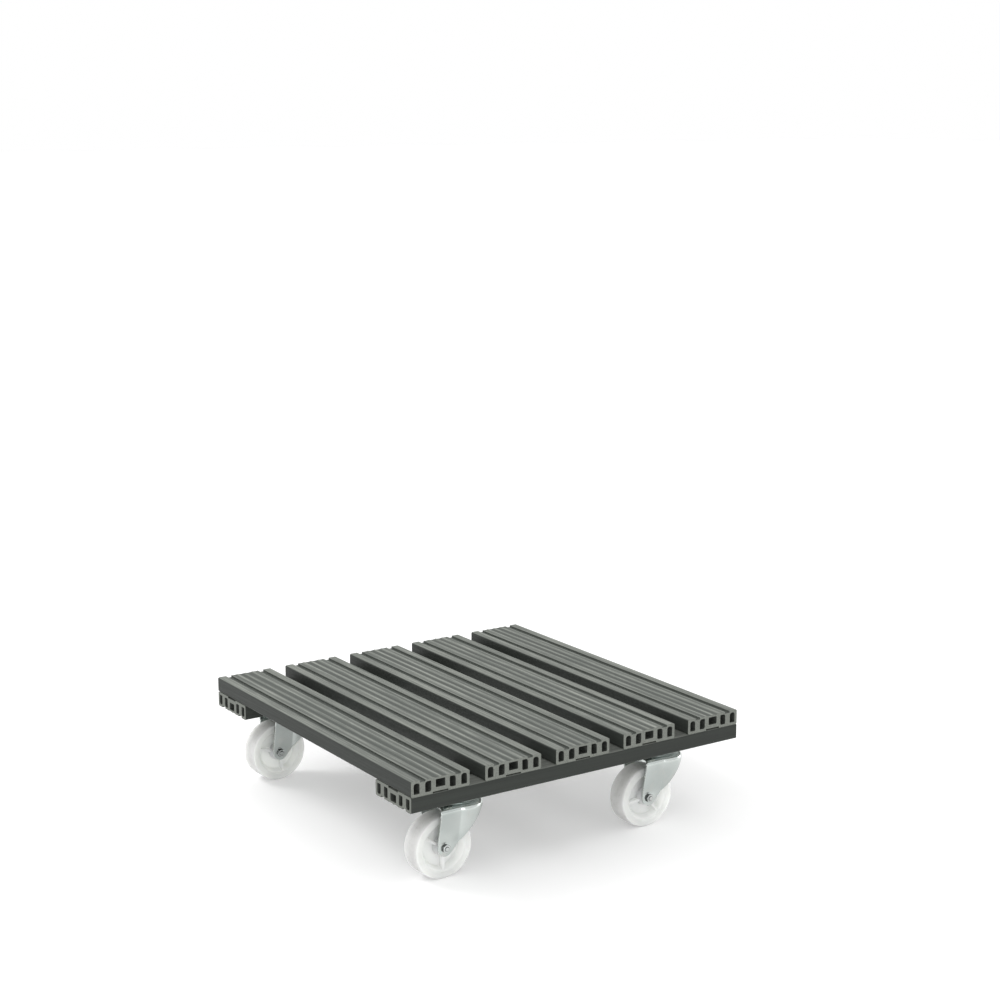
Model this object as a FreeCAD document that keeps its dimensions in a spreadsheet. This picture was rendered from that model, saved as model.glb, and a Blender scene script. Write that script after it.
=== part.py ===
import FreeCAD, Part
import Sketcher
import math
import os

# Plant pot caddy: a deck of five hollow extruded boards screwed to two cross beams
# of the same board, on four plate casters. Millimetres, +Z up. The origin is the centre
# of the footprint, on the floor. +X runs across the boards and +Y runs along them.

doc = FreeCAD.newDocument("plant_pot_caddy")
sheet = doc.addObject("Spreadsheet::Sheet", "Sizes")
sheet.Label = "Sizes"


class Size:
    """A length that carries its value and the sheet expression it is bound to."""

    def __init__(self, value, text):
        self.value = value
        self.text = text

    def __add__(self, other):
        other = as_size(other)
        return Size(self.value + other.value, f"({self.text} + {other.text})")

    def __sub__(self, other):
        other = as_size(other)
        return Size(self.value - other.value, f"({self.text} - {other.text})")

    def __mul__(self, other):
        other = as_size(other)
        return Size(self.value * other.value, f"({self.text} * {other.text})")

    def __truediv__(self, other):
        other = as_size(other)
        return Size(self.value / other.value, f"({self.text} / {other.text})")

    def __neg__(self):
        return Size(-self.value, f"(0 - {self.text})")


def as_size(number):
    if isinstance(number, Size):
        return number
    return Size(float(number), f"{number:g}" if number >= 0 else f"({number:g})")


def root(size):
    return Size(math.sqrt(size.value), f"sqrt({size.text})")


sheet_rows = iter(range(1, 200))


def driving(alias, value, meaning):
    """Put one driving dimension in the sheet and return it as a Size."""
    row = next(sheet_rows)
    sheet.set(f"A{row}", meaning)
    sheet.set(f"B{row}", f"{value:g}")
    sheet.setAlias(f"B{row}", alias)
    return Size(value, f"Sizes.{alias}")


# ---- driving dimensions: deck ----
board_length = driving("board_length", 510, "length of a deck board")
board_width = driving("board_width", 82, "width of the board extrusion")
board_thick = driving("board_thick", 20, "thickness of the board extrusion")
board_gap = driving("board_gap", 22.5, "gap between two deck boards")
board_round = driving("board_round", 2.2, "radius of the board's long edges")
strip_width = driving("strip_width", 12.5, "flat strip outside each groove")
groove_width = driving("groove_width", 7.5, "width of a show-side groove")
groove_depth = driving("groove_depth", 2.7, "depth of a show-side groove")
groove_round = driving("groove_round", 0.9, "radius of a groove's upper edges")
flute_ridge = driving("flute_ridge", 11.5, "outer flute ridges from the middle ridge")
flute_round = driving("flute_round", 20, "radius of each shallow flute")
recess_width = driving("recess_width", 22, "width of the back recess")
recess_depth = driving("recess_depth", 2, "depth of the back recess")
wall_thick = driving("wall_thick", 3.7, "side wall of the extrusion")
floor_thick = driving("floor_thick", 3.5, "back wall under the chambers")
top_skin = driving("top_skin", 3.2, "show-side wall over the chambers")
end_chamber = driving("end_chamber", 8.1, "width of the outermost chambers")
mid_chamber = driving("mid_chamber", 13.2, "width of the middle chamber")
mid_floor = driving("mid_floor", 6.9, "height of the middle chamber's floor")
side_chamber = driving("side_chamber", 8.4, "width of the chambers beside the middle")
side_inset = driving("side_inset", 19.6, "long edge to a side chamber")
chamber_round = driving("chamber_round", 1, "plain chamber corner radius")
chamber_slant = driving("chamber_slant", 3.3, "upper corner radius of the end chambers and by a groove")
chamber_relief = driving("chamber_relief", 2.3, "chamber corner radius beside the recess")

# ---- driving dimensions: deck screws ----
deck_screw_shift = driving("deck_screw_shift", 9.6, "deck screw from the deck board's middle")
deck_screw_row = driving("deck_screw_row", 24.75, "deck screw from the beam's middle")
deck_screw_head = driving("deck_screw_head", 3.5, "deck screw head radius")
deck_screw_head_height = driving("deck_screw_head_height", 2.2, "deck screw head height")
deck_screw_shank = driving("deck_screw_shank", 2.1, "deck screw shank radius")
deck_screw_reach = driving("deck_screw_reach", 32, "deck screw length under the head")
screw_bevel = driving("screw_bevel", 0.6, "bevel of a screw head's lower edge")
screw_tip = driving("screw_tip", 4, "length of a wood screw's point")
slot_long = driving("slot_long", 4.2, "length of one arm pair of a cross recess")
slot_thin = driving("slot_thin", 1, "width of a cross recess arm")
slot_deep = driving("slot_deep", 1.3, "depth of a cross recess")

# ---- driving dimensions: caster ----
caster_height = driving("caster_height", 104, "floor to the caster's mounting face")
caster_inset_side = driving("caster_inset_side", 94, "swivel axis from the deck's side edge")
caster_inset_end = driving("caster_inset_end", 42, "swivel axis from the deck's front or rear edge")
trail = driving("trail", 31, "swivel axis to the wheel axle")
wheel_radius = driving("wheel_radius", 40, "wheel radius")
wheel_width = driving("wheel_width", 29, "tread width")
tread_round = driving("tread_round", 2.5, "radius of the tread's edges")
hub_length = driving("hub_length", 30, "length of the wheel's hub")
hub_radius = driving("hub_radius", 11, "radius of the hub at its end")
hub_draft = driving("hub_draft", 1, "growth of the hub toward the web")
rim_inner = driving("rim_inner", 30, "inner radius of the rim at the face")
rim_draft = driving("rim_draft", 5, "shrink of the rim's inner radius at the web")
rim_round = driving("rim_round", 2, "radius of the rim's inner edge")
web_half = driving("web_half", 5.5, "half thickness of the wheel's web")
rib_half_thick = driving("rib_half_thick", 1.6, "half thickness of a wheel rib")
rib_half_width = driving("rib_half_width", 12.5, "reach of a wheel rib from the middle plane")
rib_inset = driving("rib_inset", 0.3, "end of a rib inside the rim's inner radius")
wheel_bore = driving("wheel_bore", 6.05, "radius of the wheel's bore")

plate_side = driving("plate_side", 64, "side of the square top plate")
plate_thick = driving("plate_thick", 2.5, "thickness of the top plate")
plate_round = driving("plate_round", 7, "corner radius of the top plate")
plate_screw_row = driving("plate_screw_row", 25, "plate screw from the swivel axis, both ways")
plate_hole = driving("plate_hole", 2.8, "radius of a plate hole")
plate_screw_shank = driving("plate_screw_shank", 2.2, "plate screw shank radius")
plate_screw_head = driving("plate_screw_head", 4.6, "plate screw head radius")
plate_screw_head_height = driving("plate_screw_head_height", 2.6, "plate screw head height")
plate_screw_reach = driving("plate_screw_reach", 18, "plate screw length above the head")
dish_radius = driving("dish_radius", 21, "outer radius of the plate's race dish")
dish_draft = driving("dish_draft", 1.5, "shrink of the dish at its floor")
dish_floor = driving("dish_floor", 98, "underside of the dish")
dish_thick = driving("dish_thick", 2.5, "thickness of the dish's floor")

pin_radius = driving("pin_radius", 4, "king pin radius")
pin_head = driving("pin_head", 9, "king pin upper head radius")
pin_head_height = driving("pin_head_height", 2.6, "king pin upper head height")
pin_head_bevel = driving("pin_head_bevel", 1.5, "inset of the upper head's top")
pin_foot = driving("pin_foot", 6.5, "king pin riveted end radius")
pin_foot_height = driving("pin_foot_height", 2.2, "king pin riveted end height")
pin_foot_bevel = driving("pin_foot_bevel", 1.2, "inset of the riveted end's bottom")
cup_floor = driving("cup_floor", 88.5, "underside of the lower cup")
cup_thick = driving("cup_thick", 2.4, "thickness of the lower cup's floor")
cup_radius = driving("cup_radius", 16, "outer radius of the lower cup")
cup_wall = driving("cup_wall", 1.6, "wall of the lower cup's rim")
cup_bevel = driving("cup_bevel", 1, "bevel of the lower cup's bottom edge")
cup_rim = driving("cup_rim", 92.8, "top of the lower cup's rim")

race_gap = driving("race_gap", 0.3, "running gap between balls and fixed races")
upper_ball = driving("upper_ball", 2.5, "radius of an upper ball")
upper_ring = driving("upper_ring", 16, "radius of the upper ball circle")
upper_level = driving("upper_level", 97, "height of the upper ball centres")
lower_ball = driving("lower_ball", 2, "radius of a lower ball")
lower_ring = driving("lower_ring", 11.5, "radius of the lower ball circle")
lower_level = driving("lower_level", 92.5, "height of the lower ball centres")

# ---- driving dimensions: fork ----
sheet_thick = driving("sheet_thick", 2.5, "thickness of the fork's pressed steel")
crown_top = driving("crown_top", 94.5, "top of the fork's crown")
crown_round = driving("crown_round", 7.5, "outer rounding of the crown's edge")
fork_foot = driving("fork_foot", 27, "level below the legs' round ends")
fork_knee = driving("fork_knee", 47, "level where the legs start to flare")
knee_half = driving("knee_half", 18, "half width of the fork over the axle")
crown_half = driving("crown_half", 27.3, "half width of the flat panels at the crown")
knee_wing = driving("knee_wing", 22.1, "radius of the rear wing at the knee")
crown_wing = driving("crown_wing", 30.2, "radius of the rear wing at the crown")
leg_round = driving("leg_round", 10.2, "radius of a leg's end round the axle")
skirt_edge = driving("skirt_edge", 87, "lower edge of the rear skirt")
skirt_start = driving("skirt_start", 23, "rear reach of the slanted leg edge")
step_radius = driving("step_radius", 21, "outer radius of the crown's raised race")
step_height = driving("step_height", 1.5, "height of the crown's raised race")
step_draft = driving("step_draft", 1, "draft of the crown's raised race")
crown_hole = driving("crown_hole", 4.5, "radius of the crown's hole round the king pin")

# ---- driving dimensions: axle ----
axle_radius = driving("axle_radius", 3, "axle bolt radius")
axle_hole = driving("axle_hole", 3.1, "radius of the axle holes in the legs and sleeve")
sleeve_radius = driving("sleeve_radius", 6, "outer radius of the axle sleeve")
hex_across = driving("hex_across", 10, "hexagon size of the axle bolt and nut")
hex_bevel = driving("hex_bevel", 0.8, "bevel of the hexagon's outer face")
bolt_head_height = driving("bolt_head_height", 3.2, "height of the axle bolt's head")
nut_height = driving("nut_height", 3, "height of the axle nut")
bolt_end = driving("bolt_end", 1, "length of the bolt past the nut")
bolt_bevel = driving("bolt_bevel", 0.7, "bevel of the bolt's end")

doc.recompute()

BOARDS = 5
UPPER_BALLS = 18
LOWER_BALLS = 16
RIBS = 3
HALF_FLAT_ANGLE = 30

# How far a cutting shape runs past the material, how far a joined shape runs into its
# neighbour, and how closely an edge must lie where it is looked for.
OVERCUT = 5
OVERLAP = 1
NEAR = 0.05

# ---- sizes worked out from the driving ones ----
deck_width = board_width * BOARDS + board_gap * (BOARDS - 1)
half_length = board_length / 2
half_width = board_width / 2
pitch = board_width + board_gap
beam_top = caster_height + board_thick
beam_shift = half_length - half_width
caster_x = deck_width / 2 - caster_inset_side
caster_y = half_length - caster_inset_end
plate_level = caster_height - plate_thick
leg_inner = knee_half - sheet_thick
step_top = crown_top + step_height
groove_start = half_width - strip_width
field_half = groove_start - groove_width
shank_length = deck_screw_reach - board_thick + groove_depth


def add_bound_constraint(sketch, kind, *parts):
    """Add a dimension to a sketch and bind it to the sheet. The last part is its Size."""
    size = parts[-1]
    index = sketch.addConstraint(Sketcher.Constraint(kind, *parts[:-1], size.value))
    name = f"d{index}"
    sketch.renameConstraint(index, name)
    sketch.setExpression(f"Constraints.{name}", size.text)


def origin_feature(body, role):
    """One of a body's own origin planes or axes."""
    return [feature for feature in body.Origin.OriginFeatures if feature.Role == role][0]


def new_body(label):
    body = doc.addObject("PartDesign::Body", label)
    body.Label = label
    return body


def new_sketch(body, name, plane, level=None):
    """A sketch on one of the body's origin planes, raised by level along the plane's normal."""
    sketch = body.newObject("Sketcher::SketchObject", f"{body.Label}_{name}")
    sketch.AttachmentSupport = [(origin_feature(body, plane), "")]
    sketch.MapMode = "FlatFace"
    if level is not None:
        sketch.setExpression("AttachmentOffset.Base.z", level.text)
    return sketch


def pin_vertex(sketch, edge, end, x, y):
    """Fix one end of an edge by its two distances from the sketch's origin."""
    add_bound_constraint(sketch, "DistanceX", -1, 1, edge, end, as_size(x))
    add_bound_constraint(sketch, "DistanceY", -1, 1, edge, end, as_size(y))


def arc_between(start, finish, radius, clockwise):
    """An arc of less than half a turn from start to finish, with the end that start lies on."""
    middle = (start + finish) * 0.5
    chord = finish - start
    side = FreeCAD.Vector(-chord.y, chord.x, 0)
    if clockwise:
        side = side * -1
    side.normalize()
    centre = middle + side * math.sqrt(radius ** 2 - (chord.Length / 2) ** 2)
    first, last = (finish, start) if clockwise else (start, finish)
    angles = [math.atan2(p.y - centre.y, p.x - centre.x) for p in (first, last)]
    circle = Part.Circle(centre, FreeCAD.Vector(0, 0, 1), radius)
    return Part.ArcOfCircle(circle, *angles), (2 if clockwise else 1)


def outline(sketch, points):
    """A closed outline through points (x, y). A third entry is the radius of the arc that
    leaves that point: positive turns left, negative turns right."""
    ends = []
    count = len(points)
    for i, point in enumerate(points):
        after = points[(i + 1) % count]
        start = FreeCAD.Vector(as_size(point[0]).value, as_size(point[1]).value, 0)
        finish = FreeCAD.Vector(as_size(after[0]).value, as_size(after[1]).value, 0)
        if len(point) == 3:
            clockwise = point[2].value < 0
            radius = -point[2] if clockwise else point[2]
            arc, first = arc_between(start, finish, radius.value, clockwise)
            edge = sketch.addGeometry(arc)
            add_bound_constraint(sketch, "Radius", edge, radius)
        else:
            edge = sketch.addGeometry(Part.LineSegment(start, finish))
            first = 1
        ends.append((edge, first))
    for i, point in enumerate(points):
        edge, first = ends[i]
        before, before_first = ends[i - 1]
        sketch.addConstraint(Sketcher.Constraint("Coincident", before, 3 - before_first, edge, first))
        pin_vertex(sketch, edge, first, point[0], point[1])


def rectangle(sketch, left, bottom, right, top):
    outline(sketch, [(left, bottom), (right, bottom), (right, top), (left, top)])


def circle(sketch, x, y, radius):
    x, y = as_size(x), as_size(y)
    shape = Part.Circle(FreeCAD.Vector(x.value, y.value, 0), FreeCAD.Vector(0, 0, 1), radius.value)
    edge = sketch.addGeometry(shape)
    add_bound_constraint(sketch, "Radius", edge, radius)
    pin_vertex(sketch, edge, 3, x, y)


def hexagon(sketch, across):
    """A regular hexagon round the sketch's origin, two of its corners on the x axis."""
    corner = across / math.sqrt(3)
    flat = across / 2
    outline(sketch, [(corner, 0), (corner / 2, flat), (-corner / 2, flat),
                     (-corner, 0), (-corner / 2, -flat), (corner / 2, -flat)])


def extrude(body, kind, sketch, length=None, side="One side", reverse=False):
    """A Pad or Pocket. With no length a Pocket goes through all."""
    feature = body.newObject(f"PartDesign::{kind}", f"{sketch.Name}_{kind.lower()}")
    feature.Profile = sketch
    feature.SideType = side
    feature.Reversed = reverse
    if length is None:
        feature.Type = "ThroughAll"
    else:
        feature.setExpression("Length", length.text)
    return feature


def turn(body, kind, sketch, axis):
    """A full Revolution or Groove about one of the sketch's own axes."""
    feature = body.newObject(f"PartDesign::{kind}", f"{sketch.Name}_{kind.lower()}")
    feature.Profile = sketch
    feature.ReferenceAxis = (sketch, [axis])
    feature.Angle = 360
    return feature


def round_edges(body, name, radius, wanted):
    """Fillet the edges of the body's present tip that the test named wanted picks out."""
    doc.recompute()
    base = body.Tip
    names = [f"Edge{i + 1}" for i, edge in enumerate(base.Shape.Edges) if wanted(edge)]
    if not names:
        raise ValueError(f"{body.Label}: no edge to round for {name}")
    fillet = body.newObject("PartDesign::Fillet", f"{body.Label}_{name}")
    fillet.Base = (base, names)
    fillet.setExpression("Radius", radius.text)
    return fillet


def checked_cut(body, before):
    """Recompute and make sure that the last feature took material away."""
    doc.recompute()
    if not body.Shape.Volume < before - 1e-3:
        raise ValueError(f"{body.Label}: {body.Tip.Name} cuts nothing")


def cut(body, feature_maker, *parts, **options):
    doc.recompute()
    before = body.Shape.Volume
    feature = feature_maker(body, *parts, **options)
    checked_cut(body, before)
    return feature


def repeat_round(body, originals, axis, count):
    pattern = body.newObject("PartDesign::PolarPattern", f"{body.Label}_ring")
    pattern.Originals = originals
    pattern.Axis = (origin_feature(body, axis), [""])
    pattern.Angle = 360
    pattern.Occurrences = count
    body.Tip = pattern
    return pattern


def repeat_along(body, originals, axis, spacing, count, name="row"):
    """A row of copies along an axis, from minus to plus, spacing apart."""
    pattern = body.newObject("PartDesign::LinearPattern", f"{body.Label}_{name}")
    pattern.Originals = originals
    pattern.Direction = (origin_feature(body, axis), [""])
    pattern.setExpression("Length", (spacing * (count - 1)).text)
    pattern.Occurrences = count
    body.Tip = pattern
    return pattern


def place(body, x, y, z, rotation=None):
    if rotation is not None:
        body.Placement = FreeCAD.Placement(FreeCAD.Vector(0, 0, 0), rotation)
    for letter, size in (("x", x), ("y", y), ("z", z)):
        body.setExpression(f"Placement.Base.{letter}", as_size(size).text)


# ---- the hollow board: local y along its length, show side at local +z ----

def along_board(spots):
    """A test for the edges that run the length of a board at one of the section's spots."""
    def wanted(edge):
        box = edge.BoundBox
        if box.YLength < deck_width.value / 2 or box.XLength > NEAR or box.ZLength > NEAR:
            return False
        return any(abs(box.XMin - x) < NEAR and abs(box.ZMin - z) < NEAR for x, z in spots)
    return wanted


def hollow_board(label, length):
    """The extrusion that deck boards and cross beams are cut from."""
    body = new_body(label)
    block = new_sketch(body, "block", "XZ_Plane")
    rectangle(block, -half_width, 0, half_width, board_thick)
    extrude(body, "Pad", block, length, "Symmetric")

    corners = [(sx * half_width.value, z) for sx in (-1, 1) for z in (0, board_thick.value)]
    round_edges(body, "corners", board_round, along_board(corners))

    grooves = new_sketch(body, "grooves", "XZ_Plane")
    groove_floor = board_thick - groove_depth
    over = board_thick + OVERCUT
    rectangle(grooves, -groove_start, groove_floor, -field_half, over)
    rectangle(grooves, field_half, groove_floor, groove_start, over)
    cut(body, extrude, "Pocket", grooves, side="Symmetric")

    flutes = new_sketch(body, "flutes", "XZ_Plane")
    outline(flutes, [(-field_half, over),
                     (-field_half, board_thick, flute_round),
                     (-flute_ridge, board_thick, flute_round),
                     (0, board_thick, flute_round),
                     (flute_ridge, board_thick, flute_round),
                     (field_half, board_thick),
                     (field_half, over)])
    cut(body, extrude, "Pocket", flutes, side="Symmetric")

    lips = [(s * x.value, board_thick.value) for s in (-1, 1) for x in (groove_start, field_half)]
    round_edges(body, "lips", groove_round, along_board(lips))

    recess = new_sketch(body, "recess", "XZ_Plane")
    rectangle(recess, -recess_width / 2, -OVERCUT, recess_width / 2, recess_depth)
    cut(body, extrude, "Pocket", recess, side="Symmetric")

    chambers = new_sketch(body, "chambers", "XZ_Plane")
    roof = board_thick - top_skin
    side_out = half_width - side_inset
    side_in = side_out - side_chamber
    end_out = half_width - wall_thick
    end_in = end_out - end_chamber
    rectangle(chambers, -mid_chamber / 2, mid_floor, mid_chamber / 2, roof)
    rectangle(chambers, -side_out, floor_thick, -side_in, roof)
    rectangle(chambers, side_in, floor_thick, side_out, roof)
    rectangle(chambers, -end_out, floor_thick, -end_in, roof)
    rectangle(chambers, end_in, floor_thick, end_out, roof)
    cut(body, extrude, "Pocket", chambers, side="Symmetric")

    beside_groove = [(s * x.value, roof.value) for s in (-1, 1) for x in (side_out, end_in, end_out)]
    beside_recess = [(s * side_in.value, floor_thick.value) for s in (-1, 1)]
    round_edges(body, "slants", chamber_slant, along_board(beside_groove))
    round_edges(body, "reliefs", chamber_relief, along_board(beside_recess))
    plain = [(s * mid_chamber.value / 2, z) for s in (-1, 1) for z in (mid_floor.value, roof.value)]
    plain += [(s * x.value, floor_thick.value) for s in (-1, 1) for x in (side_out, end_in, end_out)]
    plain += [(s * side_in.value, roof.value) for s in (-1, 1)]
    round_edges(body, "rounds", chamber_round, along_board(plain))
    return body


def deck_board(index):
    """A deck board, show side up, with four blind screw holes from below."""
    body = hollow_board(f"deck_board_{index + 1}", board_length)
    holes = new_sketch(body, "screw_holes", "XY_Plane")
    for beam_side in (-1, 1):
        for diagonal in (-1, 1):
            y = beam_shift * beam_side + deck_screw_row * diagonal
            circle(holes, deck_screw_shift * diagonal, y, deck_screw_shank)
    cut(body, extrude, "Pocket", holes, shank_length, reverse=True)
    place(body, pitch * (index - (BOARDS - 1) / 2), 0, beam_top)
    return body


def cross_beam(label, side):
    """A cross beam, show side down, drilled for the deck screws and the caster plates."""
    body = hollow_board(label, deck_width)
    first = -pitch * ((BOARDS - 1) / 2)
    holes = new_sketch(body, "deck_holes", "XY_Plane")
    for diagonal in (-1, 1):
        x = deck_screw_row * diagonal
        circle(holes, x, first + deck_screw_shift * diagonal, deck_screw_shank)
    drilled = cut(body, extrude, "Pocket", holes, side="Symmetric")
    repeat_along(body, [drilled], "Y_Axis", pitch, BOARDS)

    caster_shift = (beam_shift - caster_y) * -side
    depth = plate_screw_reach - plate_thick
    plate_holes = new_sketch(body, "plate_holes", "XY_Plane", board_thick)
    for end in (-1, 1):
        for sx in (-1, 1):
            for sy in (-1, 1):
                x = caster_shift + plate_screw_row * sx
                circle(plate_holes, x, caster_x * end + plate_screw_row * sy, plate_screw_shank)
    cut(body, extrude, "Pocket", plate_holes, depth)
    upside_down = FreeCAD.Rotation(FreeCAD.Vector(1, 1, 0), 180)
    place(body, 0, beam_shift * side, beam_top, upside_down)
    return body


# ---- screws ----

def screw(body, x, y, head, head_height, shank, reach):
    """One wood screw with its head at the bottom and its point upward, from local z = 0."""
    tag = f"at_{'m' if as_size(y).value < 0 else 'p'}"
    profile = new_sketch(body, f"screw_{tag}", "XZ_Plane")
    profile.setExpression("AttachmentOffset.Base.x", as_size(x).text)
    profile.setExpression("AttachmentOffset.Base.z", (-as_size(y)).text)
    outline(profile, [(0, 0), (head - screw_bevel, 0), (head, screw_bevel), (head, head_height),
                      (shank, head_height), (shank, head_height + reach - screw_tip),
                      (0, head_height + reach)])
    solid = turn(body, "Revolution", profile, "V_Axis")
    drive = new_sketch(body, f"drive_{tag}", "XY_Plane")
    drive.setExpression("AttachmentOffset.Base.x", as_size(x).text)
    drive.setExpression("AttachmentOffset.Base.y", as_size(y).text)
    long, thin = slot_long / 2, slot_thin / 2
    outline(drive, [(-long, -thin), (-thin, -thin), (-thin, -long), (thin, -long),
                    (thin, -thin), (long, -thin), (long, thin), (thin, thin),
                    (thin, long), (-thin, long), (-thin, thin), (-long, thin)])
    recess = cut(body, extrude, "Pocket", drive, slot_deep, reverse=True)
    return [solid, recess]


def deck_screws(label, side):
    """Ten screws that hold the deck boards to one beam, two at each crossing."""
    body = new_body(label)
    first = -pitch * ((BOARDS - 1) / 2)
    made = []
    for diagonal in (-1, 1):
        made += screw(body, first + deck_screw_shift * diagonal, deck_screw_row * diagonal,
                      deck_screw_head, deck_screw_head_height, deck_screw_shank, deck_screw_reach)
    repeat_along(body, made, "X_Axis", pitch, BOARDS)
    place(body, 0, beam_shift * side, caster_height + groove_depth - deck_screw_head_height)
    return body


def plate_screws(label):
    """Four screws that hold a caster's top plate to the beam."""
    body = new_body(label)
    made = screw(body, plate_screw_row, plate_screw_row, plate_screw_head,
                 plate_screw_head_height, plate_screw_shank, plate_screw_reach)
    repeat_round(body, made, "Z_Axis", 4)
    return body


# ---- caster parts, each in the caster's frame: swivel axis on z, floor at z = 0 ----

def top_plate(label):
    """The square plate with the dish that carries the upper race."""
    body = new_body(label)
    blank = new_sketch(body, "blank", "XY_Plane", plate_level)
    half = plate_side / 2
    rectangle(blank, -half, -half, half, half)
    extrude(body, "Pad", blank, plate_thick)

    def is_corner(edge):
        return edge.BoundBox.ZLength > plate_thick.value - NEAR

    round_edges(body, "corners", plate_round, is_corner)
    holes = new_sketch(body, "holes", "XY_Plane", caster_height)
    circle(holes, 0, 0, dish_radius)
    for sx in (-1, 1):
        for sy in (-1, 1):
            circle(holes, plate_screw_row * sx, plate_screw_row * sy, plate_hole)
    cut(body, extrude, "Pocket", holes, plate_thick + OVERCUT)

    dish = new_sketch(body, "dish", "XZ_Plane")
    inner = dish_radius - plate_thick
    outline(dish, [(pin_radius, dish_floor), (dish_radius - dish_draft, dish_floor),
                   (dish_radius, plate_level), (dish_radius, caster_height),
                   (inner, caster_height), (inner - dish_draft, dish_floor + dish_thick),
                   (pin_radius, dish_floor + dish_thick)])
    turn(body, "Revolution", dish, "V_Axis")
    race = new_sketch(body, "race", "XZ_Plane")
    circle(race, upper_ring, upper_level, upper_ball + race_gap)
    cut(body, turn, "Groove", race, "V_Axis")
    return body


def king_pin(label):
    """The rivet that clamps the lower cup to the plate and that the fork turns round."""
    body = new_body(label)
    profile = new_sketch(body, "profile", "XZ_Plane")
    seat = dish_floor + dish_thick
    foot = cup_floor - pin_foot_height
    top = seat + pin_head_height
    outline(profile, [(0, foot), (pin_foot - pin_foot_bevel, foot),
                      (pin_foot, cup_floor - pin_foot_height / 2), (pin_foot, cup_floor),
                      (pin_radius, cup_floor), (pin_radius, seat), (pin_head, seat),
                      (pin_head, seat + pin_head_height / 2), (pin_head - pin_head_bevel, top), (0, top)])
    turn(body, "Revolution", profile, "V_Axis")
    return body


def lower_cup(label):
    """The cup on the king pin that holds the lower balls up against the crown."""
    body = new_body(label)
    profile = new_sketch(body, "profile", "XZ_Plane")
    inner = cup_radius - cup_wall
    seat = cup_floor + cup_thick
    outline(profile, [(pin_radius, cup_floor), (cup_radius - cup_bevel, cup_floor),
                      (cup_radius, cup_floor + cup_bevel), (cup_radius, cup_rim),
                      (inner, cup_rim), (inner, seat), (pin_radius, seat)])
    turn(body, "Revolution", profile, "V_Axis")
    race = new_sketch(body, "race", "XZ_Plane")
    circle(race, lower_ring, lower_level, lower_ball + race_gap)
    cut(body, turn, "Groove", race, "V_Axis")
    return body


def ball_ring(label, ring, level, radius, count):
    """A ring of separate steel balls."""
    body = new_body(label)
    profile = new_sketch(body, "profile", "XZ_Plane")
    profile.setExpression("AttachmentOffset.Base.x", ring.text)
    outline(profile, [(0, level - radius, radius), (radius, level, radius), (0, level + radius)])
    ball = turn(body, "Revolution", profile, "V_Axis")
    repeat_round(body, [ball], "Z_Axis", count)
    return body


def flank(low, high, radius):
    """For a flank that leans out from low up to high, where a rounding of the top corner
    leaves the flank and where it reaches the level top."""
    run = high[0] - low[0]
    rise = high[1] - low[1]
    slope = root(run * run + rise * rise)
    tangent = radius * (slope + run) / rise
    leaves = (high[0] - tangent * run / slope, high[1] - tangent * rise / slope, radius)
    return leaves, (high[0] - tangent, high[1])


def panel_outline(sketch, foot, knee, crown, radius):
    """End view of the two flat panels and the crown between them: knee and crown are (y, z)."""
    leaves, reaches = flank(knee, crown, radius)
    outline(sketch, [(-knee[0], foot), (knee[0], foot), knee, leaves, reaches,
                     (-reaches[0], reaches[1], radius), (-leaves[0], leaves[1]), (-knee[0], knee[1])])


def wing_outline(sketch, foot, knee, crown, radius):
    """Half section of the wing that goes round the swivel axis: knee and crown are (r, z)."""
    leaves, reaches = flank(knee, crown, radius)
    outline(sketch, [(0, foot), (knee[0], foot), knee, leaves, reaches, (0, crown[1])])


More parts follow.
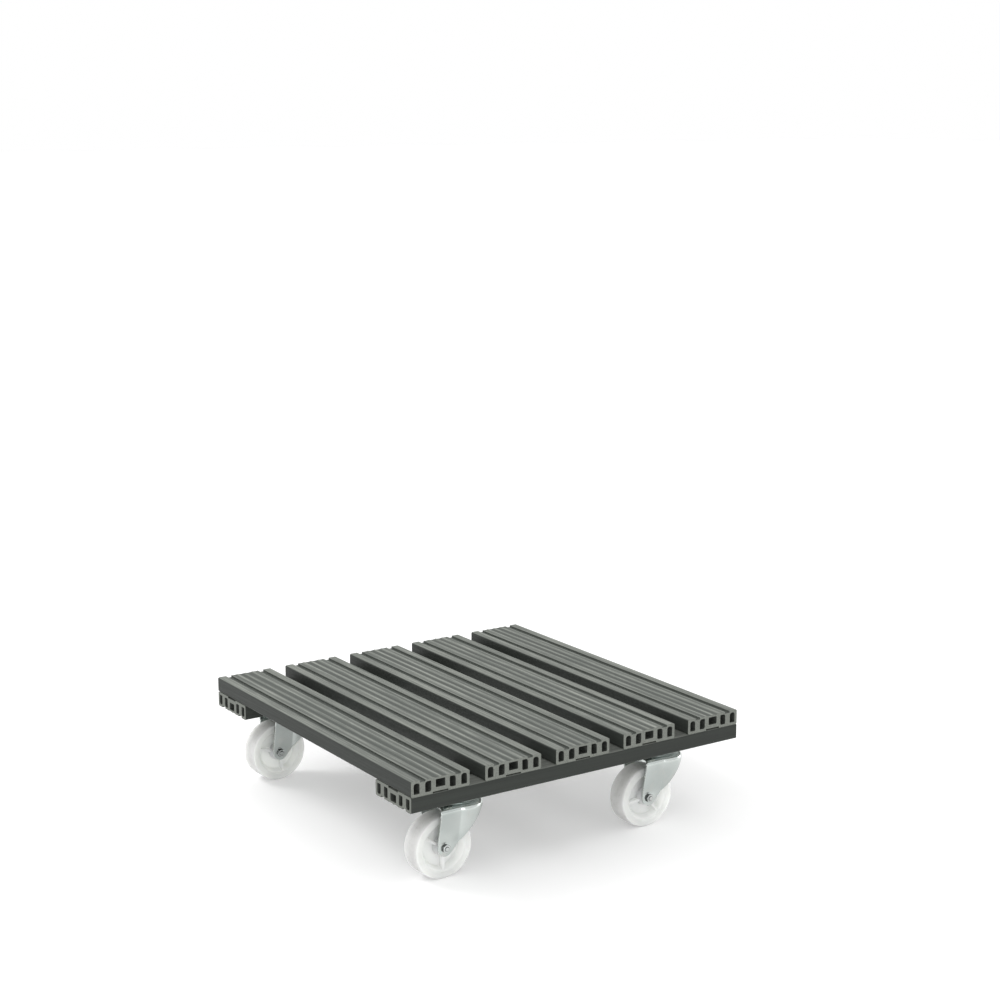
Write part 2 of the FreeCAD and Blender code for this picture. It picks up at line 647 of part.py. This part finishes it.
def fork(label):
    """The pressed steel fork: crown, two flared legs, and the wings that join them behind."""
    body = new_body(label)
    thin = sheet_thick
    reach = trail + leg_round
    under = crown_top - thin
    panels = new_sketch(body, "panels", "YZ_Plane", -reach)
    panel_outline(panels, fork_foot, (knee_half, fork_knee), (crown_half, crown_top), crown_round)
    extrude(body, "Pad", panels, reach)
    wing = new_sketch(body, "wing", "XZ_Plane")
    wing_outline(wing, fork_foot, (knee_wing, fork_knee), (crown_wing, crown_top), crown_round)
    turn(body, "Revolution", wing, "V_Axis")

    inner_foot = fork_foot - OVERCUT
    inner_round = crown_round - thin
    between = new_sketch(body, "between_panels", "YZ_Plane", -reach - OVERCUT)
    panel_outline(between, inner_foot, (knee_half - thin, fork_knee), (crown_half - thin, under), inner_round)
    cut(body, extrude, "Pocket", between, reach + OVERCUT, reverse=True)
    inside = new_sketch(body, "inside_wing", "XZ_Plane")
    wing_outline(inside, inner_foot, (knee_wing - thin, fork_knee), (crown_wing - thin, under), inner_round)
    cut(body, turn, "Groove", inside, "V_Axis")

    step = new_sketch(body, "step", "XZ_Plane")
    outline(step, [(0, crown_top - OVERLAP), (step_radius, crown_top - OVERLAP), (step_radius, crown_top),
                   (step_radius - step_draft, step_top), (0, step_top)])
    turn(body, "Revolution", step, "V_Axis")
    hollow_step = new_sketch(body, "hollow_step", "XZ_Plane")
    hollow = step_radius - thin
    outline(hollow_step, [(0, under - OVERCUT), (hollow, under - OVERCUT), (hollow, under),
                          (hollow - step_draft, step_top - thin), (0, step_top - thin)])
    cut(body, turn, "Groove", hollow_step, "V_Axis")

    upper_race = new_sketch(body, "upper_race", "XZ_Plane")
    circle(upper_race, upper_ring, upper_level, upper_ball)
    cut(body, turn, "Groove", upper_race, "V_Axis")
    lower_race = new_sketch(body, "lower_race", "XZ_Plane")
    circle(lower_race, lower_ring, lower_level, lower_ball)
    cut(body, turn, "Groove", lower_race, "V_Axis")
    pin_hole = new_sketch(body, "pin_hole", "XY_Plane", step_top + OVERCUT)
    circle(pin_hole, 0, 0, crown_hole)
    cut(body, extrude, "Pocket", pin_hole, step_height + thin + OVERCUT * 2)

    trim = new_sketch(body, "trim", "XZ_Plane")
    leg_silhouette(trim, -reach)
    cut(body, extrude, "Pocket", trim, side="Symmetric")
    holes = new_sketch(body, "axle_holes", "XZ_Plane")
    circle(holes, -trail, wheel_radius, axle_hole)
    cut(body, extrude, "Pocket", holes, side="Symmetric")
    return body


def leg_silhouette(sketch, front):
    """What is cut away in side view: below and behind the legs, round the axle ends."""
    centre = FreeCAD.Vector(-trail.value, wheel_radius.value, 0)
    tip = FreeCAD.Vector(skirt_start.value, skirt_edge.value, 0)
    reach = (tip - centre).Length
    slant = math.atan2(tip.y - centre.y, tip.x - centre.x) + math.asin(leg_round.value / reach)
    touch_angle = slant - math.pi / 2
    touch = centre + FreeCAD.Vector(math.cos(touch_angle), math.sin(touch_angle), 0) * leg_round.value
    leg_circle = Part.Circle(centre, FreeCAD.Vector(0, 0, 1), leg_round.value)
    end_arc = sketch.addGeometry(Part.ArcOfCircle(leg_circle, math.pi, 2 * math.pi + touch_angle))
    slope = sketch.addGeometry(Part.LineSegment(touch, tip))
    sketch.addConstraint(Sketcher.Constraint("Tangent", end_arc, 2, slope, 1))
    add_bound_constraint(sketch, "Radius", end_arc, leg_round)
    pin_vertex(sketch, end_arc, 3, -trail, wheel_radius)
    pin_vertex(sketch, slope, 2, skirt_start, skirt_edge)
    add_bound_constraint(sketch, "DistanceY", -1, 1, end_arc, 1, wheel_radius)
    past_front = front - OVERCUT
    past_rear = crown_wing + OVERCUT
    below = fork_foot - OVERCUT
    above = crown_top + OVERCUT
    corners = [(skirt_start, skirt_edge), (past_rear, skirt_edge), (past_rear, below),
               (past_front, below), (past_front, wheel_radius), (front, wheel_radius)]
    before = (slope, 2)
    for start, finish in zip(corners, corners[1:]):
        line = sketch.addGeometry(Part.LineSegment(
            FreeCAD.Vector(as_size(start[0]).value, as_size(start[1]).value, 0),
            FreeCAD.Vector(as_size(finish[0]).value, as_size(finish[1]).value, 0)))
        sketch.addConstraint(Sketcher.Constraint("Coincident", before[0], before[1], line, 1))
        if finish is not corners[-1]:
            pin_vertex(sketch, line, 2, finish[0], finish[1])
        before = (line, 2)
    sketch.addConstraint(Sketcher.Constraint("Coincident", before[0], before[1], end_arc, 1))
    nose = crown_top - crown_round
    outline(sketch, [(front, nose, -crown_round), (front + crown_round, crown_top),
                     (front + crown_round, above), (past_front, above), (past_front, nose)])


def axle_sleeve(label):
    """The tube clamped between the legs, on which the wheel runs."""
    body = new_body(label)
    ring = new_sketch(body, "ring", "XZ_Plane")
    circle(ring, -trail, wheel_radius, sleeve_radius)
    circle(ring, -trail, wheel_radius, axle_hole)
    extrude(body, "Pad", ring, leg_inner * 2, "Symmetric")
    return body


def bevel_tool(body, name, near, far):
    """Round off a hexagon's outer corners with a cone about the axle, from near to far."""
    corner = hex_across / math.sqrt(3)
    wide = corner + OVERCUT
    sketch = new_sketch(body, name, "XY_Plane")
    flat = hex_across / 2
    outline(sketch, [(flat, far), (wide, far), (wide, near), (corner + NEAR, near)])
    return cut(body, turn, "Groove", sketch, "V_Axis")


def axle_bolt(label):
    """The axle bolt, head on the far side. Local origin at the wheel's centre."""
    body = new_body(label)
    head = new_sketch(body, "head", "XZ_Plane", -knee_half)
    hexagon(head, hex_across)
    extrude(body, "Pad", head, bolt_head_height, reverse=True)
    outer = knee_half + bolt_head_height
    bevel_tool(body, "bevel", outer - hex_bevel, outer)
    shank = new_sketch(body, "shank", "XY_Plane")
    end = -(knee_half + nut_height + bolt_end)
    inside_head = knee_half + OVERLAP
    outline(shank, [(0, end), (axle_radius - bolt_bevel, end), (axle_radius, end + bolt_bevel),
                    (axle_radius, inside_head), (0, inside_head)])
    turn(body, "Revolution", shank, "V_Axis")
    return body


def axle_nut(label):
    """The axle nut, on the near side. Local origin at the wheel's centre."""
    body = new_body(label)
    block = new_sketch(body, "block", "XZ_Plane", knee_half)
    hexagon(block, hex_across)
    circle(block, 0, 0, axle_radius)
    extrude(body, "Pad", block, nut_height)
    outer = -(knee_half + nut_height)
    bevel_tool(body, "bevel", outer + hex_bevel, outer)
    return body


def wheel(label):
    """The nylon wheel: rim, web, hub and three ribs. Local origin at the wheel's centre."""
    body = new_body(label)
    half_tread = wheel_width / 2
    half_hub = hub_length / 2
    shoulder = wheel_radius - tread_round
    lip = half_tread - tread_round
    hub_root = hub_radius + hub_draft
    rim_root = rim_inner - rim_draft
    section = new_sketch(body, "section", "XY_Plane")
    outline(section, [(wheel_bore, -half_hub), (hub_radius, -half_hub), (hub_root, -web_half),
                      (rim_root, -web_half), (rim_inner, -half_tread),
                      (shoulder, -half_tread, tread_round), (wheel_radius, -lip),
                      (wheel_radius, lip, tread_round), (shoulder, half_tread),
                      (rim_inner, half_tread), (rim_root, web_half), (hub_root, web_half),
                      (hub_radius, half_hub), (wheel_bore, half_hub)])
    turn(body, "Revolution", section, "V_Axis")

    def is_rim_edge(edge):
        box = edge.BoundBox
        return box.YLength < NEAR and abs(box.XMax - rim_inner.value) < NEAR

    round_edges(body, "rim_edges", rim_round, is_rim_edge)
    rib = new_sketch(body, "rib", "XZ_Plane")
    rectangle(rib, hub_radius - OVERLAP, -rib_half_thick, rim_inner - rib_inset, rib_half_thick)
    pad = extrude(body, "Pad", rib, rib_half_width * 2, "Symmetric")
    repeat_round(body, [pad], "Y_Axis", RIBS)
    return body


def caster(corner, side_x, side_y, rib_angle, nut_angle):
    """All the parts of one caster, set at its corner of the deck. The two angles are how far
    the wheel's first rib and the nut's first flat stand round from +X, toward +Z."""
    x = caster_x * side_x
    y = caster_y * side_y
    made = [top_plate(f"{corner}_top_plate"),
            king_pin(f"{corner}_king_pin"),
            lower_cup(f"{corner}_lower_cup"),
            ball_ring(f"{corner}_upper_balls", upper_ring, upper_level, upper_ball, UPPER_BALLS),
            ball_ring(f"{corner}_lower_balls", lower_ring, lower_level, lower_ball, LOWER_BALLS),
            fork(f"{corner}_fork"),
            axle_sleeve(f"{corner}_axle_sleeve")]
    for body in made:
        place(body, x, y, 0)
    screws = plate_screws(f"{corner}_plate_screws")
    place(screws, x, y, plate_level - plate_screw_head_height)
    made.append(screws)
    on_axle = ((axle_bolt, "axle_bolt", 0), (axle_nut, "axle_nut", nut_angle - HALF_FLAT_ANGLE),
               (wheel, "wheel", rib_angle))
    for maker, name, angle in on_axle:
        body = maker(f"{corner}_{name}")
        rotation = FreeCAD.Rotation(FreeCAD.Vector(0, 1, 0), -angle)
        place(body, x - trail, y, wheel_radius, rotation)
        made.append(body)
    return made


# ---- build every sub-part ----
sub_parts = [deck_board(i) for i in range(BOARDS)]
sub_parts += [cross_beam("front_beam", -1), cross_beam("rear_beam", 1)]
sub_parts += [deck_screws("front_deck_screws", -1), deck_screws("rear_deck_screws", 1)]
sub_parts += caster("front_left", -1, -1, 270, 0)
sub_parts += caster("front_right", 1, -1, 190, 12)
sub_parts += caster("rear_left", -1, 1, 164, 36)
sub_parts += caster("rear_right", 1, 1, 220, 20)
doc.recompute()

for item in doc.Objects:
    if any(word in item.State for word in ("Invalid", "Error")):
        raise ValueError(f"{item.Label} failed: {item.State}")
for part in sub_parts:
    if part.Shape.isNull() or not part.Shape.isValid():
        raise ValueError(f"{part.Label} has no valid shape")

os.makedirs("parts", exist_ok=True)
for part in sub_parts:
    part.Shape.exportStep(f"parts/{part.Label}.step")
    print(part.Label, len(part.Shape.Solids), round(part.Shape.Volume / 1000, 2))
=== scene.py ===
import bpy
import math
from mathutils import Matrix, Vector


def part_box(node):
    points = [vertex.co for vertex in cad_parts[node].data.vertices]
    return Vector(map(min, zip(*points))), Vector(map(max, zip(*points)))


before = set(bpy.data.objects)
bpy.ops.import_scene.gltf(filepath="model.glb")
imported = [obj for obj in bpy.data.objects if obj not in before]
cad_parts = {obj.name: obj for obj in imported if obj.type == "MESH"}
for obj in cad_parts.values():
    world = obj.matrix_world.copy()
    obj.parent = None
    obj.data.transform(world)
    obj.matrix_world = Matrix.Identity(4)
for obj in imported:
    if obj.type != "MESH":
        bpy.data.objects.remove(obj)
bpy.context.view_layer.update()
scene = bpy.context.scene

CORNERS = ("front_left", "front_right", "rear_left", "rear_right")
DECK_BOARDS = [f"deck_board_{i + 1}" for i in range(5)]
BEAMS = ["front_beam", "rear_beam"]


# ---- a small wrapper round shader nodes ----

# Where a Mix node keeps its two colours and its mixed colour
MIX_FIRST, MIX_SECOND = 6, 7
MIX_COLOUR = 2


class Shader:
    """One material with a single Principled node, and short calls that add nodes to it."""

    def __init__(self, name, **settings):
        self.material = bpy.data.materials.new(name)
        self.material.use_nodes = True
        self.tree = self.material.node_tree
        self.surface = self.tree.nodes["Principled BSDF"]
        for socket, value in settings.items():
            self.surface.inputs[socket.replace("_", " ")].default_value = value
        self.places = self.add("TexCoord")

    def add(self, kind, inputs=None, **settings):
        """Add a node. Its inputs are values, or the outputs of other nodes to link from."""
        made = self.tree.nodes.new(f"ShaderNode{kind}")
        for name, value in settings.items():
            setattr(made, name, value)
        for key, value in (inputs or {}).items():
            if isinstance(value, bpy.types.NodeSocket):
                self.tree.links.new(value, made.inputs[key])
            else:
                made.inputs[key].default_value = value
        return made

    def maths(self, operation, *values, clamp=False):
        """One Math node. Its values are numbers, or the outputs of other nodes."""
        inputs = dict(enumerate(values))
        return self.add("Math", inputs, operation=operation, use_clamp=clamp).outputs[0]

    def times(self, first, second):
        """The product of two values."""
        return self.maths("MULTIPLY", first, second)

    def between(self, value, low, high, start=0.0, finish=1.0):
        """start below low, finish above high, and a smooth step from one to the other."""
        inputs = {"Value": value, "From Min": low, "From Max": high, "To Min": start, "To Max": finish}
        return self.add("MapRange", inputs, interpolation_type="SMOOTHSTEP").outputs["Result"]

    def mix(self, share, first, second):
        """The first colour at share 0, and the second at share 1."""
        inputs = {0: share, MIX_FIRST: first, MIX_SECOND: second}
        return self.add("Mix", inputs, data_type="RGBA").outputs[MIX_COLOUR]

    def stretched(self, source, x, y, z):
        """The source coordinates scaled on each axis, for a pattern with x, y, z repeats a metre."""
        return self.add("Mapping", {"Vector": source, "Scale": (x, y, z)}).outputs[0]

    def noise(self, vector, scale=1.0, detail=2.0, rough=0.5):
        """Cloudy noise about 0.5, with scale repeats a metre."""
        inputs = {"Vector": vector, "Scale": scale, "Detail": detail, "Roughness": rough}
        return self.add("TexNoise", inputs).outputs["Fac"]

    def parts(self, vector):
        """The X, Y and Z of a vector, by name."""
        return self.add("SeparateXYZ", {"Vector": vector}).outputs

    def relief(self, *layers):
        """Bump from (height, depth in metres) layers, over edges softened by a fine bevel."""
        normal = self.soft_edges
        for height, depth in layers:
            inputs = {"Height": height, "Distance": depth, "Strength": 1.0, "Normal": normal}
            normal = self.add("Bump", inputs).outputs["Normal"]
        self.tree.links.new(normal, self.surface.inputs["Normal"])

    def soften(self, radius):
        """Round off every edge for the light by this radius, and return how near an edge a point is."""
        bevel = self.add("Bevel", {"Radius": radius}, samples=4)
        self.soft_edges = bevel.outputs["Normal"]
        flat = self.add("NewGeometry").outputs["Normal"]
        inputs = {0: self.soft_edges, 1: flat}
        facing = self.add("VectorMath", inputs, operation="DOT_PRODUCT").outputs["Value"]
        return self.between(facing, 0.995, 0.8)

    def set(self, socket, value):
        """Link a node's output to a socket of the Principled node."""
        self.tree.links.new(value, self.surface.inputs[socket])


def rgb(red, green, blue):
    """An opaque colour, in linear light."""
    return (red, green, blue, 1.0)


WHITE = rgb(1.0, 1.0, 1.0)


# ---- materials ----

# The board section, in metres. Each pair is the band over which a mask changes. The first three
# are depths below the show side, WALL is in from the show side and the back, and the last two are
# in from the sides.
FLUTE = (0.0001, 0.0008)
BRUSHED_TO = (0.0010, 0.0018)
GROOVE_TO = (0.0028, 0.0031)
WALL = (0.0032, 0.0028)
SIDE_WALL = (0.003, 0.001)
STRIP = (0.0145, 0.0125)


def board_material(name, along, across, boards, show_up):
    """Wood-plastic board: dark smooth skin, brushed show side, pale sawn ends and hollows painted a
    paler grey than the skin, as painted light.
    along and across are the axes of its length and width, and show_up is the way its show side
    faces. boards are evenly spaced, so the first two of them place all the others."""
    low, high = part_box(boards[0])
    next_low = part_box(boards[1])[0]
    axis = "XYZ".index(across)
    pitch = next_low[axis] - low[axis]
    half_width = (high[axis] - low[axis]) / 2
    half_thick = (high.z - low.z) / 2
    show_level = high.z if show_up > 0 else low.z

    m = Shader(name, Specular_IOR_Level=0.28)
    spot = m.places.outputs["Object"]
    place = m.parts(spot)
    facing = m.parts(m.places.outputs["Normal"])
    edge = m.soften(0.0004)

    # which face of the board a point is on
    end_face = m.between(m.maths("ABSOLUTE", facing[along]), 0.6, 0.8)
    up = m.times(facing["Z"], show_up)
    depth = m.times(m.maths("SUBTRACT", show_level, place["Z"]), show_up)
    raised = m.between(depth, *BRUSHED_TO, 1.0, 0.0)
    brushed = m.times(m.between(up, 0.45, 0.8), raised)
    hollow = m.between(depth, *FLUTE)
    back = m.between(up, -0.45, -0.8)

    # where it is in the section of its own board
    from_first = m.maths("SUBTRACT", place[across], low[axis] + half_width)
    from_middle = m.maths("ABSOLUTE", m.maths("WRAP", from_first, pitch / 2, -pitch / 2))
    from_core = m.maths("ABSOLUTE", m.maths("SUBTRACT", depth, half_thick))
    off_sides = m.between(from_middle, *(half_width - inset for inset in SIDE_WALL), 1.0, 0.0)
    in_core = m.between(from_core, *(half_thick - inset for inset in WALL), 1.0, 0.0)
    inside = m.times(off_sides, in_core)
    in_groove = m.times(off_sides, m.between(depth, *GROOVE_TO, 1.0, 0.0))
    on_strip = m.between(from_middle, *(half_width - inset for inset in STRIP))

    # patterns: brush marks and streaks drawn out along the board, clouds, grain and wood fibres
    fine = (16, 950, 950) if along == "X" else (950, 16, 950)
    broad = (2.5, 380, 380) if along == "X" else (380, 2.5, 380)
    hairs = m.noise(m.stretched(spot, *fine), detail=3, rough=0.65)
    streaks = m.noise(m.stretched(spot, *broad), detail=2)
    clouds = m.noise(spot, scale=9, detail=2)
    grain = m.noise(spot, scale=1500, detail=2, rough=0.7)
    fibres = m.add("TexVoronoi", {"Vector": spot, "Scale": 620.0}).outputs["Distance"]
    fleck = m.between(fibres, 0.0, 0.24, 1.0, 0.0)
    streaky = m.between(streaks, 0.3, 0.7)

    # smooth sides and groove floors
    skin = m.mix(streaky, rgb(0.018, 0.021, 0.018), rgb(0.023, 0.027, 0.023))
    skin = m.mix(m.times(fleck, 0.2), skin, rgb(0.05, 0.055, 0.052))
    skin = m.mix(m.times(in_groove, 0.9), skin, rgb(0.070, 0.078, 0.069))

    # mottled back
    bare = m.mix(streaky, rgb(0.085, 0.092, 0.082), rgb(0.135, 0.142, 0.128))
    bare = m.mix(m.times(fleck, 0.3), bare, rgb(0.18, 0.185, 0.165))

    # brushed show side: pale and dark streaks, darker flutes and darker flat strips
    top = m.mix(m.between(hairs, 0.38, 0.62), rgb(0.130, 0.141, 0.127), rgb(0.292, 0.306, 0.276))
    top = m.mix(m.times(m.between(streaks, 0.5, 0.68), 0.65), top, rgb(0.335, 0.349, 0.315))
    top = m.mix(m.times(m.between(streaks, 0.47, 0.32), 0.5), top, rgb(0.100, 0.110, 0.098))
    top = m.mix(m.times(m.between(clouds, 0.35, 0.7), 0.3), top, rgb(0.125, 0.137, 0.124))
    top = m.mix(m.times(hollow, 0.88), top, rgb(0.060, 0.068, 0.060))
    top = m.mix(m.times(on_strip, 0.28), top, rgb(0.092, 0.100, 0.089))

    # sawn ends, and the chambers behind them painted paler than the skin: painted light inside them
    sawn = m.mix(m.between(grain, 0.35, 0.65), rgb(0.112, 0.120, 0.107), rgb(0.186, 0.196, 0.176))
    sawn = m.mix(m.times(fleck, 0.35), sawn, rgb(0.26, 0.26, 0.235))
    bore_painted_light = m.mix(streaky, rgb(0.036, 0.040, 0.036), rgb(0.060, 0.064, 0.058))

    colour = m.mix(back, m.mix(brushed, skin, top), bare)
    # chamber walls painted paler than the skin: painted light
    colour = m.mix(inside, colour, bore_painted_light)
    colour = m.mix(end_face, colour, sawn)
    worn = m.times(edge, m.between(clouds, 0.3, 0.7, 0.2, 0.5))
    colour = m.mix(worn, colour, rgb(0.22, 0.23, 0.205))
    m.set("Base Color", colour)

    rough = m.maths("ADD", m.between(hairs, 0.3, 0.7, 0.5, 0.62), m.times(brushed, 0.14))
    m.set("Roughness", m.maths("ADD", rough, m.times(end_face, 0.2), clamp=True))
    m.relief((m.times(hairs, m.between(brushed, 0, 1, 0.15, 1.0)), 0.0004),
             (m.times(grain, m.between(end_face, 0, 1, 0.3, 1.0)), 0.00018))
    return m.material


# pale zinc for the edges: rubbed wear and a painted highlight
WORN_ZINC_AND_HIGHLIGHT = rgb(0.88, 0.90, 0.89)
# near black for the flanks of the nut and bolt: painted shade
FLANK_SHADE = rgb(0.035, 0.038, 0.037)


def zinc_material(name, dull, bright, rough_low, rough_high, edge_wear_and_highlight=0.3, flank_shade=0.0):
    """Zinc-plated steel: a cool metal with cloudy, faintly tinted passivation and rolling marks.
    One share lightens its edges with rubbed wear and a painted highlight, and the last darkens
    its sides round Y with painted shade."""
    m = Shader(name, Metallic=1.0, Specular_IOR_Level=0.5)
    spot = m.places.outputs["Object"]
    edge = m.soften(0.0008)
    clouds = m.noise(spot, scale=24, detail=2, rough=0.45)
    blush = m.noise(spot, scale=16, detail=2)
    bloom = m.noise(spot, scale=70, detail=3, rough=0.6)
    rolled = m.noise(m.stretched(spot, 420, 420, 30), detail=3, rough=0.6)
    pores = m.noise(spot, scale=2200, detail=1)
    colour = m.mix(m.between(clouds, 0.25, 0.75), dull, bright)
    colour = m.mix(m.times(m.between(blush, 0.4, 0.75), 0.2), colour, rgb(0.54, 0.62, 0.60))
    colour = m.mix(m.times(m.between(bloom, 0.5, 0.75), 0.22), colour, rgb(0.60, 0.57, 0.52))
    colour = m.mix(m.times(m.between(rolled, 0.55, 0.8), 0.07), colour, rgb(0.46, 0.49, 0.48))
    # edges lightened towards pale zinc: rubbed wear, and a painted highlight
    colour = m.mix(m.times(edge, edge_wear_and_highlight), colour, WORN_ZINC_AND_HIGHLIGHT)
    # sides round Y darkened towards near black: painted shade
    sides = m.between(m.maths("ABSOLUTE", m.parts(m.places.outputs["Normal"])["Y"]), 0.85, 0.6)
    colour = m.mix(m.times(sides, flank_shade), colour, FLANK_SHADE)
    m.set("Base Color", colour)
    worn = m.maths("ADD", clouds, m.times(rolled, 0.2))
    m.set("Roughness", m.between(worn, 0.4, 0.8, rough_low, rough_high))
    m.relief((rolled, 0.00001), (pores, 0.000006))
    return m.material


def nylon_material(name):
    """Milky moulded nylon, with the mould's parting line round the tread and faint turning rings."""
    m = Shader(name, Subsurface_Weight=1.0, Subsurface_Scale=0.045, IOR=1.53, Specular_IOR_Level=0.18)
    m.surface.inputs["Subsurface Radius"].default_value = (1.0, 1.0, 0.95)
    spot = m.places.outputs["Object"]
    unit = m.parts(m.places.outputs["Generated"])
    edge = m.soften(0.0006)
    clouds = m.noise(spot, scale=45, detail=3)
    pores = m.noise(spot, scale=900, detail=2)
    across = m.maths("SUBTRACT", unit["X"], 0.5)
    upward = m.maths("SUBTRACT", unit["Z"], 0.5)
    squares = m.maths("ADD", m.times(across, across), m.times(upward, upward))
    radius = m.maths("SQRT", squares)
    rings = m.maths("SINE", m.times(radius, 520.0))
    off_middle = m.maths("ABSOLUTE", m.maths("SUBTRACT", unit["Y"], 0.5))
    on_tread = m.between(radius, 0.485, 0.495)
    # the face recess, where paler colour is painted in as painted light
    painted_recess_mask = m.between(radius, 0.36, 0.38, 1.0, 0.0)
    parting = m.times(m.between(off_middle, 0.004, 0.012, 1.0, 0.0), on_tread)
    scuffs = m.noise(spot, scale=260, detail=3)
    scuffed = m.times(on_tread, m.between(scuffs, 0.56, 0.72))

    cloudy = m.between(clouds, 0.35, 0.65)
    # one nylon in three tones: the recess painted paler than the face, painted light against its shade,
    # and the tread a little darker, painted shade
    face = m.mix(cloudy, rgb(0.53, 0.54, 0.525), rgb(0.57, 0.58, 0.565))
    recess_painted_light = m.mix(cloudy, rgb(0.64, 0.655, 0.64), rgb(0.68, 0.69, 0.675))
    tread = m.mix(cloudy, rgb(0.460, 0.460, 0.457), rgb(0.510, 0.510, 0.507))
    colour = m.mix(on_tread, m.mix(painted_recess_mask, face, recess_painted_light), tread)
    colour = m.mix(m.times(scuffed, 0.35), colour, rgb(0.34, 0.34, 0.325))
    colour = m.mix(m.times(parting, 0.4), colour, rgb(0.36, 0.365, 0.35))
    colour = m.mix(m.times(edge, 0.35), colour, rgb(0.70, 0.71, 0.70))
    m.set("Base Color", colour)
    satin = m.between(clouds, 0.3, 0.7, 0.4, 0.52)
    m.set("Roughness", m.maths("ADD", satin, m.times(scuffed, 0.25)))
    m.relief((rings, 0.000012), (pores, 0.00004), (parting, 0.00012))
    return m.material


BOARD_DECK = board_material("board_deck", "Y", "X", DECK_BOARDS, 1.0)
BOARD_BEAM = board_material("board_beam", "X", "Y", BEAMS, -1.0)
# the fork's edges are lightened most: mostly a painted highlight, with some rubbed wear
ZINC_FORK = zinc_material("zinc_fork", rgb(0.46, 0.495, 0.48), rgb(0.60, 0.635, 0.615), 0.12, 0.24,
                          edge_wear_and_highlight=0.85)
# the plate and cup are the fork's zinc painted darker: painted shade for the gap under the deck
SHADED_ZINC_PLATE = zinc_material("zinc_plate", rgb(0.34, 0.37, 0.36), rgb(0.46, 0.49, 0.48), 0.3, 0.4)
BRIGHT_TONES = (rgb(0.26, 0.28, 0.27), rgb(0.66, 0.68, 0.67), 0.05, 0.12)
BRIGHT_STEEL = zinc_material("bright_steel", *BRIGHT_TONES)
# the axle bolt and nut get painted shade on their flanks
AXLE_STEEL = zinc_material("axle_steel", *BRIGHT_TONES, flank_shade=0.85)
SCREW_STEEL = zinc_material("screw_steel", rgb(0.52, 0.52, 0.49), rgb(0.70, 0.70, 0.67), 0.22, 0.36)
# the balls are painted darker than the bright steel: painted shade
SHADED_BALL_STEEL = zinc_material("ball_steel", rgb(0.30, 0.31, 0.31), rgb(0.40, 0.41, 0.41), 0.10, 0.2)
NYLON = nylon_material("nylon")


def finish_with(node, material):
    """Give one CAD node its only material."""
    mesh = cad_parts[node].data
    mesh.materials.clear()
    mesh.materials.append(material)


for node in DECK_BOARDS:
    finish_with(node, BOARD_DECK)
for node in BEAMS:
    finish_with(node, BOARD_BEAM)
for end in ("front", "rear"):
    finish_with(f"{end}_deck_screws", SCREW_STEEL)
BY_PART = {"top_plate": SHADED_ZINC_PLATE, "lower_cup": SHADED_ZINC_PLATE, "fork": ZINC_FORK,
           "king_pin": BRIGHT_STEEL, "axle_sleeve": BRIGHT_STEEL,
           "upper_balls": SHADED_BALL_STEEL, "lower_balls": SHADED_BALL_STEEL,
           "axle_bolt": AXLE_STEEL, "axle_nut": AXLE_STEEL,
           "plate_screws": SCREW_STEEL, "wheel": NYLON}
for corner in CORNERS:
    for part, material in BY_PART.items():
        finish_with(f"{corner}_{part}", material)


# ---- floor ----

def stage_floor():
    """A pale, faintly glowing floor, 60 m across, far wider than the view."""
    half = 30.0
    corners = [(-half, -half, 0.0), (half, -half, 0.0), (half, half, 0.0), (-half, half, 0.0)]
    mesh = bpy.data.meshes.new("studio_floor")
    mesh.from_pydata(corners, [], [(0, 1, 2, 3)])
    floor = bpy.data.objects.new("studio_floor", mesh)
    scene.collection.objects.link(floor)
    m = Shader("studio_floor", Roughness=0.75, Specular_IOR_Level=0.1, Emission_Strength=0.22)
    m.surface.inputs["Emission Color"].default_value = WHITE
    tone = m.noise(m.places.outputs["Object"], scale=1.5, detail=2)
    pale = m.mix(m.between(tone, 0.3, 0.7), rgb(0.80, 0.80, 0.80), rgb(0.83, 0.83, 0.83))
    m.set("Base Color", pale)
    mesh.materials.append(m.material)


stage_floor()


# ---- light ----

def softbox(name, place, aim, size, power):
    """A square area light of that size in metres, at place, pointed at aim."""
    lamp = bpy.data.lights.new(name, "AREA")
    lamp.shape = "SQUARE"
    lamp.size = size
    lamp.energy = power
    lit = bpy.data.objects.new(name, lamp)
    scene.collection.objects.link(lit)
    lit.location = place
    offset = [a - p for a, p in zip(aim, place)]
    lit.rotation_euler = (math.atan2(math.hypot(offset[0], offset[1]), -offset[2]), 0,
                          math.atan2(offset[1], offset[0]) - math.pi / 2)


# The key comes from behind on the left, the fill from low in front, and a weak light from low on
# the right brightens the casters.
MIDDLE = (0.0, 0.0, 0.08)
LEFT_FRONT_FLOOR = (-0.1, -0.1, 0.0)
softbox("key", (-1.4, 1.8, 2.0), MIDDLE, 1.1, 30)
softbox("fill", (-1.1, -2.6, 0.45), MIDDLE, 1.2, 25)
softbox("low_right", (2.4, -0.5, 0.42), LEFT_FRONT_FLOOR, 0.7, 12)

world = bpy.data.worlds.new("studio")
scene.world = world
world.use_nodes = True
backdrop = world.node_tree.nodes["Background"].inputs
backdrop["Color"].default_value = WHITE
backdrop["Strength"].default_value = 1.0
scene.view_settings.view_transform = "Standard"


# ---- camera ----

# A long lens from the front left, looking slightly down
CAMERA_PLACE = (-1.3843, -2.1229, 0.9313)
CAMERA_DOWN = math.radians(11.648)
CAMERA_TURN = math.radians(-34.003)

lens = bpy.data.cameras.new("camera")
lens.sensor_width = 36.0
lens.lens = 70.658
lens.clip_start = 0.05
lens.dof.use_dof = False
camera = bpy.data.objects.new("camera", lens)
scene.collection.objects.link(camera)
camera.location = CAMERA_PLACE
camera.rotation_euler = (math.pi / 2 - CAMERA_DOWN, 0, CAMERA_TURN)
scene.camera = camera
